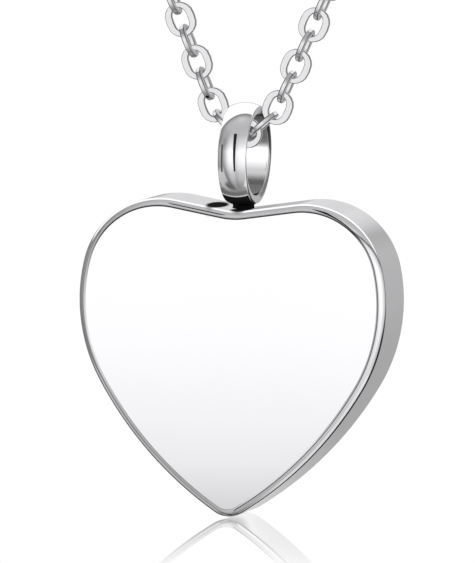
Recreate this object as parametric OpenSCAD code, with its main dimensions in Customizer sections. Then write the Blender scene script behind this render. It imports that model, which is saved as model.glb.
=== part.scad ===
/* [Heart] */
// Width of the heart across its lobes
heart_w = 25; // [20:0.5:32]
// Thickness of the heart from face to face
heart_t = 6.5; // [5.5:0.1:9]
// Thickness of the heart's steel wall
heart_wall = 0.9; // [0.7:0.05:1.1]
// Radius of the rounded rim between each face and the side wall
rim_r = 0.5; // [0.3:0.05:0.65]
// Radius of the heart's tip
tip_r = 2; // [1.6:0.1:3]

/* [Bail] */
// Diameter of the bail's hole
bail_hole_d = 6.4; // [6.2:0.1:8]
// Width of the bail's band
bail_w = 2.4; // [1.8:0.1:3]
// Thickness of the band at its crown
bail_crown_t = 0.9; // [0.7:0.05:1.2]
// Thickness of the band at its sides
bail_side_t = 0.5; // [0.3:0.05:0.65]
// Height of the neck between the band and the heart's dip
neck_h = 0.2; // [0.15:0.05:1]

/* [Plug] */
// Diameter of the plug and of the neck above it
plug_d = 1.7; // [1.4:0.1:2.2]
// Length of the plug below the heart's dip
plug_l = 2.4; // [1.5:0.1:4]
// Clearance around the plug, on the radius
plug_clearance = 0.05; // [0.02:0.01:0.1]
// Wall of the sleeve that holds the plug inside the heart
sleeve_wall = 0.8; // [0.5:0.1:0.9]
// Depth of the sleeve beyond the end of the plug
sleeve_over = 0.2; // [0.1:0.1:1]

/* [Chain] */
// Length of the whole loop, clasp included
chain_l = 450; // [380:10:520]
// Outer length of a link
link_l = 2.8; // [2.6:0.05:3.2]
// Outer width of a link
link_w = 2.4; // [2.2:0.05:2.5]
// Diameter of the links' wire
link_wire = 0.45; // [0.35:0.05:0.5]
// Clearance between wires that loop through each other
link_clearance = 0.1; // [0.1:0.01:0.15]
// Angle of the two straight strands from the vertical
strand_angle = 23; // [15:0.5:30]
// Clearance between the bail's band and the links beside and under it
bail_clearance = 0.15; // [0.1:0.05:0.3]

/* [Clasp] */
// Outer length of the clasp's loop
clasp_l = 7.6; // [6:0.1:10]
// Outer width of the clasp's loop
clasp_w = 4; // [3.6:0.1:5]
// Thickness of the clasp's loop
clasp_wire = 1; // [0.8:0.1:1.2]
// Outer diameter of the clasp's eye
eye_d = 2.6; // [2.4:0.1:3.2]
// Thickness of the clasp's eye
eye_wire = 0.6; // [0.5:0.05:0.7]
// Length of the neck between the clasp's loop and its eye
clasp_neck_l = 0.4; // [0.3:0.1:1]
// Outer diameter of the two jump rings
jump_d = 3.6; // [3.2:0.1:4.5]
// Diameter of the jump rings' wire
jump_wire = 0.6; // [0.5:0.05:0.7]

/* [Hidden] */
STEEL = "silver";
STEEL_SHADE = "lightgray";
$fn = 48;

// Outline of the heart's right half, walked from the middle of the dip to the tip.
// Each arc has its turn to the right in degrees and its radius as a share of half the width.
DIP = [-9.3, 0.44];
LOBE = [86, 0.515];
SHOULDER = [43.4, 1.05];
// The slope between dip and lobe is straight, its length a share of half the width.
SLOPE = 0.32;
// The flank's radius is the one that brings the tip to the middle line.
FLANK_TURN = 27.5;
// Points along each stretch of the outline, and steps around the rounded rim
DIP_STEPS = 4;
LOBE_STEPS = 18;
SHOULDER_STEPS = 9;
FLANK_STEPS = 8;
TIP_STEPS = 7;
RIM_STEPS = 5;

// A pose is a place and a heading: [x, z, degrees], where 0 points to the right and 90 up.
function arc_end(p, turn, r) =
    let (a = p[2], b = a - turn, s = sign(turn))
    [p[0] + s * r * (sin(a) - sin(b)), p[1] + s * r * (cos(b) - cos(a)), b];
function run_end(p, l) = [p[0] + l * cos(p[2]), p[1] + l * sin(p[2]), p[2]];
// Poses along an arc, its end left out
function arc_poses(p, turn, r, n) = [for (i = [0:n - 1]) arc_end(p, turn * i / n, r)];
// The point of a pose, moved towards the inside of the outline
function inset_point(p, inset) = [p[0] + inset * sin(p[2]), p[1] - inset * cos(p[2])];

// Half the heart's width for radii given as bare shares
lobe_heading = -DIP[0];
shoulder_heading = lobe_heading - LOBE[0];
half_w_of_shares = DIP[1] * sin(lobe_heading) + SLOPE * cos(lobe_heading)
    + LOBE[1] * (sin(lobe_heading) - sin(shoulder_heading)) + SHOULDER[1] * (sin(shoulder_heading) + 1);
share = heart_w / 2 / half_w_of_shares;

dip_pose = [0, 0, 0];
slope_pose = arc_end(dip_pose, DIP[0], DIP[1] * share);
lobe_pose = run_end(slope_pose, SLOPE * share);
shoulder_pose = arc_end(lobe_pose, LOBE[0], LOBE[1] * share);
flank_pose = arc_end(shoulder_pose, SHOULDER[0], SHOULDER[1] * share);
tip_heading = flank_pose[2] - FLANK_TURN;
flank_r = (flank_pose[0] + tip_r * sin(tip_heading)) / (sin(tip_heading) - sin(flank_pose[2]));
tip_pose = arc_end(flank_pose, FLANK_TURN, flank_r);
tip_turn = 180 + tip_heading;

right_poses = concat(
    arc_poses(dip_pose, DIP[0], DIP[1] * share, DIP_STEPS),
    [slope_pose],
    arc_poses(lobe_pose, LOBE[0], LOBE[1] * share, LOBE_STEPS),
    arc_poses(shoulder_pose, SHOULDER[0], SHOULDER[1] * share, SHOULDER_STEPS),
    arc_poses(flank_pose, FLANK_TURN, flank_r, FLANK_STEPS),
    arc_poses(tip_pose, tip_turn, tip_r, TIP_STEPS),
    [arc_end(tip_pose, tip_turn, tip_r)]);
outline_poses = concat(
    right_poses,
    [for (i = [len(right_poses) - 2:-1:1]) let (p = right_poses[i]) [-p[0], p[1], -p[2]]]);

// Wires that loop through each other lie this far apart, centre to centre.
function looped(wire_a, wire_b) = (wire_a + wire_b) / 2 + link_clearance;
link_bend_r = (link_w - link_wire) / 2;
link_half_l = (link_l - link_wire) / 2;
// Distance from the middle of a flat link to the end bars of the cross links in it
flat_reach = link_half_l - looped(link_wire, link_wire);
pitch = flat_reach + link_half_l;

jump_r = (jump_d - jump_wire) / 2;
eye_r = (eye_d - eye_wire) / 2;
clasp_bend_r = (clasp_w - clasp_wire) / 2;
clasp_straight = clasp_l - clasp_w;
// From a jump ring's middle to the eye's middle, and to the middle of the bend at the loop's end
ring_to_eye = jump_r + eye_r - looped(jump_wire, eye_wire);
ring_to_bend = jump_r + clasp_bend_r - looped(jump_wire, clasp_wire);
eye_to_bend = eye_r + clasp_neck_l + clasp_wire / 2 + clasp_bend_r + clasp_straight + eye_wire / 2;
link_to_ring = link_half_l + jump_r - looped(link_wire, jump_wire);
// Half the distance between the two jump rings, which lie level with the clasp
top_half = (ring_to_eye + eye_to_bend + ring_to_bend) / 2;

// Angle from the vertical of the two hook links that leave the lowest link, which sets
// the next flat link clear of the band's side
hook_angle = asin((bail_w / 2 + bail_clearance + link_w / 2 + (link_l - link_w) / 2 * sin(strand_angle)
    - flat_reach * (1 + sin(strand_angle))) / (2 * link_half_l));
// Here the middle of the lowest link is the origin, and the right strand starts at this point.
strand_start = [flat_reach + 2 * link_half_l * sin(hook_angle), 2 * link_half_l * cos(hook_angle)];
side_l = chain_l / 2 - top_half - flat_reach - 2 * link_half_l;
pairs = round((side_l - link_to_ring - flat_reach) / (2 * pitch));
strand_links = 2 * pairs + 1;
strand_l = flat_reach + (strand_links - 1) * pitch + link_to_ring;
// Radius of the loop's round top, and length of a straight strand below it
loop_r = (strand_l - (top_half - strand_start[0]) / sin(strand_angle))
    / (cos(strand_angle) / sin(strand_angle) + (90 + strand_angle) * PI / 180);
straight_l = (top_half - strand_start[0] + loop_r * cos(strand_angle)) / sin(strand_angle);
// Height of the clasp above the lowest link
loop_h = strand_start[1] + straight_l * cos(strand_angle) + loop_r * (1 + sin(strand_angle));

// Place and lean of the strand at a distance from its start: [x, z, degrees from the vertical]
function strand_at(s) = s < straight_l
    ? [strand_start[0] + s * sin(strand_angle), strand_start[1] + s * cos(strand_angle), strand_angle]
    : let (lean = strand_angle - (s - straight_l) / loop_r * 180 / PI)
      [top_half + loop_r * cos(lean), loop_h - loop_r * (1 + sin(lean)), lean];

// The bail swings about the lowest link's long middle line, and this is how far from that line
// the hook links' wires reach where they pass the band's edges.
edge_height = (bail_w / 2 - flat_reach) / tan(hook_angle);
edge_reach = norm([link_bend_r, edge_height]) + link_wire / 2 / sin(hook_angle);
bail_r = bail_hole_d / 2;
bail_drop = bail_r - edge_reach - bail_clearance;
bail_z = -loop_h - bail_drop;
crown_r = bail_r + bail_crown_t;
dip_z = bail_z - crown_r - neck_h;

sleeve_d = plug_d + 2 * plug_clearance + 2 * sleeve_wall;
sleeve_l = plug_l + sleeve_over;

// A closed body between rings of points that follow the heart's outline, each [inset, y]
module outline_loft(rings) {
    n = len(outline_poses);
    points = [for (ring = rings) for (p = outline_poses)
        let (q = inset_point(p, ring[0])) [q[0], ring[1], dip_z + q[1]]];
    bands = [for (k = [0:len(rings) - 2]) for (i = [0:n - 1])
        let (j = (i + 1) % n, low = k * n, high = low + n) [low + i, high + i, high + j, low + j]];
    front = [for (i = [0:n - 1]) i];
    back = [for (i = [n - 1:-1:0]) (len(rings) - 1) * n + i];
    polyhedron(points = points, faces = concat([front], bands, [back]), convexity = 4);
}

module heart_outside() {
    front_rim = [for (k = [0:RIM_STEPS]) let (t = 90 * k / RIM_STEPS)
        [rim_r * (1 - sin(t)), rim_r * (1 - cos(t)) - heart_t / 2]];
    back_rim = [for (k = [RIM_STEPS:-1:0]) [front_rim[k][0], -front_rim[k][1]]];
    outline_loft(concat(front_rim, back_rim));
}

module heart_chamber() {
    face_y = heart_t / 2 - heart_wall;
    outline_loft([[heart_wall, -face_y], [heart_wall, face_y]]);
}

module heart_body() {
    color(STEEL)
        difference() {
            heart_outside();
            difference() {
                heart_chamber();
                translate([0, 0, dip_z - sleeve_l])
                    cylinder(d = sleeve_d, h = sleeve_l);
            }
            translate([0, 0, dip_z - 2 * sleeve_l])
                cylinder(d = plug_d + 2 * plug_clearance, h = 3 * sleeve_l);
        }
}

// Section of the band: flat inside and at the sides, domed outside
module band_section() {
    half_w = bail_w / 2;
    rise = bail_crown_t - bail_side_t;
    dome_r = (half_w * half_w + rise * rise) / (2 * rise);
    intersection() {
        translate([bail_r, -half_w])
            square([bail_crown_t, bail_w]);
        translate([crown_r - dome_r, 0])
            circle(r = dome_r);
    }
}

module bail() {
    neck_root = bail_side_t * 0.8;
    color(STEEL)
        union() {
            translate([0, 0, bail_z])
                rotate([0, 90, 0])
                    rotate_extrude()
                        band_section();
            translate([0, 0, dip_z - plug_l])
                cylinder(d = plug_d, h = plug_l + neck_h + neck_root);
        }
}

// A closed oval of round wire in the XZ plane, its long way along Z
module wire_oval(bend_r, straight, wire) {
    for (m = [0, 1])
        mirror([0, 0, m])
            translate([0, 0, straight / 2])
                rotate([90, 0, 0])
                    rotate_extrude(angle = 180)
                        translate([bend_r, 0])
                            circle(d = wire);
    for (x = [-bend_r, bend_r])
        translate([x, 0, 0])
            cylinder(d = wire, h = straight, center = true);
}

module link(cross) {
    rotate([0, 0, cross ? 90 : 0])
        wire_oval(link_bend_r, link_l - link_w, link_wire);
}

// Links of both strands, counted up from the bail: the even ones are flat, the odd ones across
module strands(cross) {
    for (m = [0, 1])
        mirror([m, 0, 0])
            for (i = [cross ? 1 : 0:2:strand_links - 1]) {
                at = strand_at(flat_reach + i * pitch);
                translate([at[0], 0, at[1] - loop_h])
                    rotate([0, at[2], 0])
                        link(cross);
            }
}

module chain_flat_links() {
    color(STEEL) {
        translate([0, 0, -loop_h])
            rotate([0, 90, 0])
                link(false);
        strands(false);
    }
}

module chain_cross_links() {
    color(STEEL_SHADE) {
        for (m = [0, 1])
            mirror([m, 0, 0])
                translate([flat_reach, 0, -loop_h])
                    rotate([0, hook_angle, 0])
                        translate([0, 0, link_half_l])
                            link(true);
        strands(true);
    }
}

module jump_ring() {
    rotate_extrude()
        translate([jump_r, 0])
            circle(d = jump_wire);
}

module clasp_ring() {
    color(STEEL)
        translate([-top_half, 0, 0])
            jump_ring();
}

module end_ring() {
    color(STEEL)
        translate([top_half, 0, 0])
            jump_ring();
}

module clasp() {
    bend_x = top_half - ring_to_bend;
    eye_x = ring_to_eye - top_half;
    neck_end_x = bend_x - clasp_straight - clasp_bend_r;
    color(STEEL)
        union() {
            translate([bend_x - clasp_straight / 2, 0, 0])
                rotate([0, 90, 0])
                    wire_oval(clasp_bend_r, clasp_straight, clasp_wire);
            translate([eye_x, 0, 0])
                rotate([90, 0, 0])
                    rotate_extrude()
                        translate([eye_r, 0])
                            circle(d = eye_wire);
            translate([eye_x + eye_r, 0, 0])
                rotate([0, 90, 0])
                    cylinder(d = eye_wire, h = neck_end_x - eye_x - eye_r);
        }
}

heart_body();
bail();
chain_flat_links();
chain_cross_links();
clasp();
clasp_ring();
end_ring();
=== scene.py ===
import math

import bpy
from bpy.props import FloatProperty, FloatVectorProperty, PointerProperty
from bpy.types import Operator, Panel, PropertyGroup
from mathutils import Matrix, Vector


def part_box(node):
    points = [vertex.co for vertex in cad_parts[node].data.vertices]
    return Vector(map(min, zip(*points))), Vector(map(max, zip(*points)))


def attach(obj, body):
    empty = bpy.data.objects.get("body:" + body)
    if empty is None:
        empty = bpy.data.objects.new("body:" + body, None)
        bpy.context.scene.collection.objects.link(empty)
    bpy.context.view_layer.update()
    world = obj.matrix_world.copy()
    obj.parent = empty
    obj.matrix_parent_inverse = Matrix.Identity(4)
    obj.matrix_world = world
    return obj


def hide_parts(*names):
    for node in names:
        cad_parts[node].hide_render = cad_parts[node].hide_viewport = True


bl_info = {
    "name": "Heart Urn Pendant",
    "version": (1, 0, 0),
    "blender": (4, 5, 0),
    "location": "3D View > Sidebar > Pendant",
    "description": "Polished steel heart pendant with its bail, cable chain and clasp",
    "category": "Object",
}

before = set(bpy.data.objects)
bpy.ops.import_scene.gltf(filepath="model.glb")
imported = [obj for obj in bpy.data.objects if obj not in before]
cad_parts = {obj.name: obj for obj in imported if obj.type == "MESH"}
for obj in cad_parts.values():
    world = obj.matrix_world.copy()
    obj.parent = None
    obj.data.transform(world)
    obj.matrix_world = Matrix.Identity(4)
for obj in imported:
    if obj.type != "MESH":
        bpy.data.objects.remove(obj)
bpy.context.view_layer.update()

MM = 0.001
# Vertices closer than this are welded, and places are told apart with this margin
WELD = 0.002 * MM
MARGIN = 0.01 * MM
HEART_LOW, HEART_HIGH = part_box("heart_body")
BAIL_LOW, BAIL_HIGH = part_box("bail")
LOWEST_LINK_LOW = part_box("chain_flat_links")[0]
CLASP_LOW, CLASP_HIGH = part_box("clasp")
RING_LOW, RING_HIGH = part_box("clasp_ring")

# The photograph's size in pixels, and where the middle of the heart's height lies in it
PHOTO_W, PHOTO_H = 475, 563
HEART_PIXEL = (240.8, 340.0)
PIXELS_PER_MM = 12.69
# Height of the heart's middle below its dip
DIP_TO_MIDDLE = 10.4 * MM

# How a length and an angle show in the panel
LENGTH = {"subtype": "DISTANCE", "unit": "LENGTH"}
ANGLE = {"subtype": "ANGLE", "unit": "ROTATION"}


class HeartSizes(PropertyGroup):
    """The heart, with an outline that is walked from the dip to the tip."""
    width: FloatProperty(name="Width", description="Width across the lobes",
                         default=HEART_HIGH.x - HEART_LOW.x, **LENGTH)
    thickness: FloatProperty(name="Thickness", description="From face to face",
                             default=HEART_HIGH.y - HEART_LOW.y, **LENGTH)
    rim: FloatProperty(name="Rim radius", description="Radius between each face and the side wall",
                       default=0.57 * MM, **LENGTH)
    tip: FloatProperty(name="Tip radius", description="Radius of the tip", default=2 * MM, **LENGTH)
    dip_turn: FloatProperty(name="Dip turn", description="Turn to the left in the dip",
                            default=math.radians(9.3), **ANGLE)
    dip_radius: FloatProperty(name="Dip radius", description="As a share of half the width",
                              default=0.44)
    slope: FloatProperty(name="Slope",
                         description="Straight length above the dip, as a share of half the width",
                         default=0.32)
    lobe_turn: FloatProperty(name="Lobe turn", description="Turn over the lobe",
                             default=math.radians(86), **ANGLE)
    lobe_radius: FloatProperty(name="Lobe radius", description="As a share of half the width",
                               default=0.515)
    shoulder_turn: FloatProperty(name="Shoulder turn", description="Turn along the shoulder",
                                 default=math.radians(43.4), **ANGLE)
    shoulder_radius: FloatProperty(name="Shoulder radius", description="As a share of half the width",
                                   default=1.05)
    flank_turn: FloatProperty(name="Flank turn", description="Turn along the flank",
                              default=math.radians(27.5), **ANGLE)
    seam: FloatProperty(name="Seam", description="Width of the fine line between each face and its rim",
                        default=0.05 * MM, **LENGTH)
    bore: FloatProperty(name="Bore", description="Radius of the plug's hole in the dip",
                        default=0.9 * MM, **LENGTH)


class BailSizes(PropertyGroup):
    """The ring bail and the plug under it."""
    inner: FloatProperty(name="Hole radius", description="Radius of the bail's hole", default=3.2 * MM,
                         **LENGTH)
    side: FloatProperty(name="Side thickness", description="Thickness of the band at its sides",
                        default=0.6 * MM, **LENGTH)
    lean: FloatProperty(name="Side lean", description="How much narrower the band is round its hole",
                        default=0.17 * MM, **LENGTH)
    outer_edge: FloatProperty(name="Outer edge", description="Rounding between the dome and the sides",
                              default=0.28 * MM, **LENGTH)
    inner_edge: FloatProperty(name="Inner edge", description="Rounding between the hole and the sides",
                              default=0.06 * MM, **LENGTH)
    plug: FloatProperty(name="Plug radius", description="Radius of the plug's thread",
                        default=0.85 * MM, **LENGTH)
    pitch: FloatProperty(name="Thread pitch", description="Height of one turn of the thread",
                         default=0.3 * MM, **LENGTH)
    thread: FloatProperty(name="Thread depth", description="Depth of the thread", default=0.12 * MM,
                          **LENGTH)


class ChainSizes(PropertyGroup):
    """The cable chain and its links."""
    length: FloatProperty(name="Chain length", description="Length of the whole loop", default=450 * MM,
                          **LENGTH)
    link_length: FloatProperty(name="Link length", description="Outer length of a link",
                               default=2.8 * MM, **LENGTH)
    link_width: FloatProperty(name="Link width", description="Outer width of a link", default=2.4 * MM,
                              **LENGTH)
    wire: FloatProperty(name="Wire", description="Diameter of the links' wire", default=0.45 * MM,
                        **LENGTH)
    play: FloatProperty(name="Play", description="Clearance between looped wires", default=0.1 * MM,
                        **LENGTH)
    bail_play: FloatProperty(name="Bail play",
                             description="Clearance between the bail and the links beside it",
                             default=0.15 * MM, **LENGTH)
    strand_angle: FloatProperty(name="Strand angle",
                                description="Angle of the straight strands from the vertical",
                                default=math.radians(23), **ANGLE)
    side_width: FloatProperty(name="Side width", description="Width of a link's flattened sides",
                              default=0.58 * MM, **LENGTH)
    end_width: FloatProperty(name="End width", description="Width of a link's flattened ends",
                             default=0.43 * MM, **LENGTH)
    flat_height: FloatProperty(name="Flat height", description="Thickness of a flattened link",
                               default=0.4 * MM, **LENGTH)


class ClaspSizes(PropertyGroup):
    """The clasp behind the neck."""
    wire: FloatProperty(name="Loop wire", description="Thickness of the clasp's loop", default=1 * MM,
                        **LENGTH)
    eye: FloatProperty(name="Eye", description="Outer diameter of the clasp's eye", default=2.6 * MM,
                       **LENGTH)
    eye_wire: FloatProperty(name="Eye wire", description="Thickness of the clasp's eye",
                            default=0.6 * MM, **LENGTH)
    length: FloatProperty(name="Loop length", description="Outer length of the clasp's loop",
                          default=7.6 * MM, **LENGTH)


class SteelSizes(PropertyGroup):
    """The colours of the two steels."""
    mirror_color: FloatVectorProperty(name="Mirror steel",
                                      description="Colour of the polished heart and bail",
                                      subtype="COLOR", default=(0.80, 0.795, 0.80))
    chain_color: FloatVectorProperty(name="Chain steel", description="Colour of the chain",
                                     subtype="COLOR", default=(0.62, 0.62, 0.625))


class StageSizes(PropertyGroup):
    """The camera and the table."""
    azimuth: FloatProperty(name="Azimuth", description="Angle of the camera round the pendant",
                           default=math.radians(15.5), **ANGLE)
    elevation: FloatProperty(name="Elevation", description="Angle of the camera above the horizon",
                             default=math.radians(5.2), **ANGLE)
    roll: FloatProperty(name="Roll", description="Turn of the camera about its own line of sight",
                        default=math.radians(1.2), **ANGLE)
    distance: FloatProperty(name="Distance", description="From the camera to the heart", default=1.0,
                            **LENGTH)
    floor_size: FloatProperty(name="Floor", description="Side of the floor", default=3.0, **LENGTH)
    floor_drop: FloatProperty(name="Floor drop", description="From the heart's tip down to the floor",
                              default=0.1 * MM, **LENGTH)


def clear_selection():
    if bpy.context.mode != "OBJECT":
        bpy.ops.object.mode_set(mode="OBJECT")
    bpy.ops.object.select_all(action="DESELECT")


def start_from_vertex(name, place):
    """A mesh of one vertex, in edit mode and selected, with the object at the origin."""
    clear_selection()
    bpy.ops.mesh.primitive_plane_add(size=MM, location=(0, 0, 0))
    piece = bpy.context.object
    piece.name = name
    bpy.ops.object.mode_set(mode="EDIT")
    bpy.ops.mesh.select_mode(type="VERT")
    bpy.ops.mesh.select_all(action="SELECT")
    bpy.ops.mesh.merge(type="CENTER")
    bpy.ops.transform.translate(value=place)
    return piece


def select_vertices(piece, wanted):
    """Selects, in edit mode, the vertices whose place passes the test."""
    bpy.ops.object.mode_set(mode="OBJECT")
    mesh = piece.data
    for part in (mesh.polygons, mesh.edges, mesh.vertices):
        part.foreach_set("select", [False] * len(part))
    for v in mesh.vertices:
        v.select = wanted(v.co)
    bpy.ops.object.mode_set(mode="EDIT")
    bpy.ops.mesh.select_mode(type="VERT")


def extrude(across, along, up):
    """Extrudes what is selected in edit mode, and leaves the new part selected."""
    bpy.ops.mesh.extrude_region_move(TRANSFORM_OT_translate={"value": (across, along, up)})


def weld_all():
    """Joins the doubles of the whole mesh in edit mode, and turns its faces outwards."""
    bpy.ops.mesh.select_all(action="SELECT")
    bpy.ops.mesh.remove_doubles(threshold=WELD)
    bpy.ops.mesh.normals_make_consistent(inside=False)


def finish_piece(piece, body, material, replaced, angle=30.0):
    """Puts the place into the mesh, sets smooth shading, and says what the piece stands for."""
    clear_selection()
    piece.select_set(True)
    bpy.context.view_layer.objects.active = piece
    bpy.ops.object.transform_apply(location=True, rotation=True, scale=True)
    bpy.ops.object.shade_smooth_by_angle(angle=math.radians(angle))
    piece.data.materials.clear()
    piece.data.materials.append(material)
    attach(piece, body)
    for node in replaced:
        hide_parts(node)


def apply_modifier(piece, kind, **values):
    """Adds a modifier of the kind with its values, and applies it."""
    bpy.context.view_layer.objects.active = piece
    modifier = piece.modifiers.new(kind.title(), kind)
    for key, value in values.items():
        setattr(modifier, key, value)
    bpy.ops.object.modifier_apply(modifier=modifier.name)


def add_cylinder(name, radius, low, high, vertices=64):
    """A rod on the upright axis between two heights."""
    clear_selection()
    bpy.ops.mesh.primitive_cylinder_add(
        vertices=vertices, radius=radius, depth=high - low, location=(0, 0, (low + high) / 2))
    piece = bpy.context.object
    piece.name = name
    return piece


def add_ring(name, middle, outer, wire, segments, sides, upright=False):
    """A closed ring of round wire, level or upright, with its place in its mesh."""
    clear_selection()
    bpy.ops.mesh.primitive_torus_add(
        major_radius=(outer - wire) / 2, minor_radius=wire / 2, major_segments=segments,
        minor_segments=sides, location=middle, rotation=(math.pi / 2 if upright else 0, 0, 0))
    ring = bpy.context.object
    ring.name = name
    bpy.ops.object.transform_apply(location=True, rotation=True, scale=False)
    return ring


# The walk along an outline: a pose is (x, z, heading in degrees), where a heading of 0 points to the right

def walk_on(pose, turn, size):
    """The pose after an arc of radius size to the right, or to the left if the turn is negative.

    With no turn it is a straight run of length size."""
    x, z, heading = pose
    a, b = math.radians(heading), math.radians(heading - turn)
    if not turn:
        return (x + size * math.cos(a), z + size * math.sin(a), heading)
    side = math.copysign(size, turn)
    return (x + side * (math.sin(a) - math.sin(b)), z + side * (math.cos(b) - math.cos(a)), heading - turn)


def draw_on(pose, turn, size, steps):
    """Draws what walk_on describes from the selected vertex, in edit mode."""
    x, z, heading = pose
    a = math.radians(heading)
    if turn:
        side = math.copysign(size, turn)
        centre = (x + side * math.sin(a), 0, z - side * math.cos(a))
        bpy.ops.mesh.spin(steps=steps, angle=math.radians(turn), center=centre, axis=(0, -1, 0))
    else:
        extrude(size * math.cos(a), 0, size * math.sin(a))
    return walk_on(pose, turn, size)


def walk_end(walk):
    """The pose at the end of a walk that starts at the dip."""
    pose = (0.0, 0.0, 0.0)
    for turn, size, _ in walk:
        pose = walk_on(pose, turn, size)
    return pose


def heart_walk(sizes):
    """The right half of the outline as (turn, size, steps) of each stretch, scaled to the width."""
    turns = (sizes.dip_turn, sizes.lobe_turn, sizes.shoulder_turn, sizes.flank_turn)
    dip, lobe, shoulder, flank = (math.degrees(turn) for turn in turns)
    first, second = sizes.dip_turn, sizes.dip_turn - sizes.lobe_turn
    shares = (sizes.dip_radius * math.sin(first) + sizes.slope * math.cos(first)
              + sizes.lobe_radius * (math.sin(first) - math.sin(second))
              + sizes.shoulder_radius * (math.sin(second) + 1))
    share = sizes.width / 2 / shares
    walk = [(-dip, sizes.dip_radius * share, 6), (0, sizes.slope * share, 1),
            (lobe, sizes.lobe_radius * share, 36), (shoulder, sizes.shoulder_radius * share, 22)]
    x, _, heading = walk_end(walk)
    low = math.radians(heading - flank)
    radius = (x + sizes.tip * math.sin(low)) / (math.sin(low) - math.sin(math.radians(heading)))
    return walk + [(flank, radius, 18), (180 + heading - flank, sizes.tip, 16)]


def heart_depth(sizes):
    """Height from the dip down to the tip."""
    return -walk_end(heart_walk(sizes))[1]


class Shade:
    """Short calls for the arithmetic of a node tree."""

    def __init__(self, tree):
        self.tree = tree

    def node(self, kind, **values):
        node = self.tree.nodes.new(kind)
        for key, value in values.items():
            setattr(node, key, value)
        return node

    def link(self, source, target):
        self.tree.links.new(source, target)

    def feed(self, value, socket):
        """Sets the socket to a plain value, or links it to another node's output."""
        if isinstance(value, bpy.types.NodeSocket):
            self.link(value, socket)
        else:
            socket.default_value = value

    def vector(self, operation, *values):
        """Vector arithmetic, which gives a number for a dot product or a distance, and else a vector."""
        node = self.node("ShaderNodeVectorMath", operation=operation)
        sockets = (node.inputs[0], node.inputs["Scale"]) if operation == "SCALE" else node.inputs
        for socket, value in zip(sockets, values):
            self.feed(value, socket)
        return node.outputs["Value" if operation in ("DOT_PRODUCT", "DISTANCE") else "Vector"]

    def split(self, vector):
        """The three parts of a vector."""
        node = self.node("ShaderNodeSeparateXYZ")
        self.link(vector, node.inputs[0])
        return node.outputs

    def math(self, operation, *values):
        node = self.node("ShaderNodeMath", operation=operation)
        for socket, value in zip(node.inputs, values):
            self.feed(value, socket)
        return node.outputs[0]

    def range(self, value, low, high, to_low=0.0, to_high=1.0, smooth=False):
        node = self.node("ShaderNodeMapRange", clamp=True)
        if smooth:
            node.interpolation_type = "SMOOTHSTEP"
        values = {"From Min": low, "From Max": high, "To Min": to_low, "To Max": to_high}
        for name, number in values.items():
            node.inputs[name].default_value = number
        self.link(value, node.inputs["Value"])
        return node.outputs["Result"]

    def ramp(self, value, stops, low, high, span=1.0):
        """A curve through the stops, each at (place, brightness), and the brightness up to span."""
        node = self.node("ShaderNodeValToRGB")
        elements = node.color_ramp.elements
        while len(elements) < len(stops):
            elements.new(0.5)
        for element, (place, brightness) in zip(elements, stops):
            element.position = (place - low) / (high - low)
            tone = brightness / span
            element.color = (tone, tone, tone, 1.0)
        self.link(self.range(value, low, high), node.inputs["Fac"])
        return self.math("MULTIPLY", node.outputs["Color"], span)

    def noise(self, vector, scale, detail):
        node = self.node("ShaderNodeTexNoise")
        node.inputs["Detail"].default_value = detail
        self.link(vector, node.inputs["Vector"])
        self.link(scale, node.inputs["Scale"])
        return node.outputs["Fac"]

    def angle(self, up, across):
        """The direction of a slope in degrees, from -180 to 180."""
        return self.math("MULTIPLY", self.math("ARCTAN2", up, across), math.degrees(1))

    def hypot(self, a, b):
        return self.math("SQRT", self.math("ADD", self.math("POWER", a, 2.0), self.math("POWER", b, 2.0)))

    def below(self, value, limit, soft, strength=1.0):
        """The strength where the value is below the limit and 0 above it, with a soft edge between."""
        return self.range(value, limit - soft, limit + soft, strength, 0.0, smooth=True)

    def by_ray(self, others, camera):
        """A shader that shows one shader to the camera and the other to all other rays."""
        choice = self.node("ShaderNodeMixShader")
        self.link(self.node("ShaderNodeLightPath").outputs["Is Camera Ray"], choice.inputs[0])
        self.link(others.outputs[0], choice.inputs[1])
        self.link(camera.outputs[0], choice.inputs[2])
        return choice.outputs[0]

    def mix(self, factor, a, b):
        node = self.node("ShaderNodeMix", data_type="FLOAT")
        for socket, value in zip((node.inputs[0], node.inputs[2], node.inputs[3]), (factor, a, b)):
            self.feed(value, socket)
        return node.outputs[0]


def start_group(name, inputs, outputs):
    """A shader node group with its sockets, each at (name, kind)."""
    group = bpy.data.node_groups.new(name, "ShaderNodeTree")
    for way, sockets in (("INPUT", inputs), ("OUTPUT", outputs)):
        for key, kind in sockets:
            group.interface.new_socket(name=key, in_out=way, socket_type="NodeSocket" + kind)
    return group


# The polish: how its fine lines are drawn out along X, how detailed its fine lines and broad marks are, and
# the tone of the steel where the broad marks are darkest
POLISH_STRETCH = (1.0, 0.12, 0.12)
FINE_DETAIL, BROAD_DETAIL = 3.0, 2.0
MARK_TONE = 0.97


def polish_group():
    """Fine polishing lines and faint handling marks, for every steel."""
    group = start_group("Polish marks",
                        [("Vector", "Vector"), ("Roughness", "Float"), ("Marks", "Float"),
                         ("Fine scale", "Float"), ("Broad scale", "Float"), ("Color", "Color")],
                        [("Color", "Color"), ("Roughness", "Float"), ("Height", "Float")])
    s = Shade(group)
    given, result = s.node("NodeGroupInput").outputs, s.node("NodeGroupOutput").inputs
    stretch = s.node("ShaderNodeMapping")
    stretch.inputs["Scale"].default_value = POLISH_STRETCH
    s.link(given["Vector"], stretch.inputs["Vector"])
    fine = s.noise(stretch.outputs["Vector"], given["Fine scale"], FINE_DETAIL)
    broad = s.noise(given["Vector"], given["Broad scale"], BROAD_DETAIL)
    s.link(s.vector("SCALE", given["Color"], s.range(broad, 0.0, 1.0, MARK_TONE, 1.0)), result["Color"])
    s.link(s.math("MULTIPLY_ADD", s.math("MULTIPLY", fine, broad), given["Marks"], given["Roughness"]),
           result["Roughness"])
    s.link(fine, result["Height"])
    return group


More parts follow.
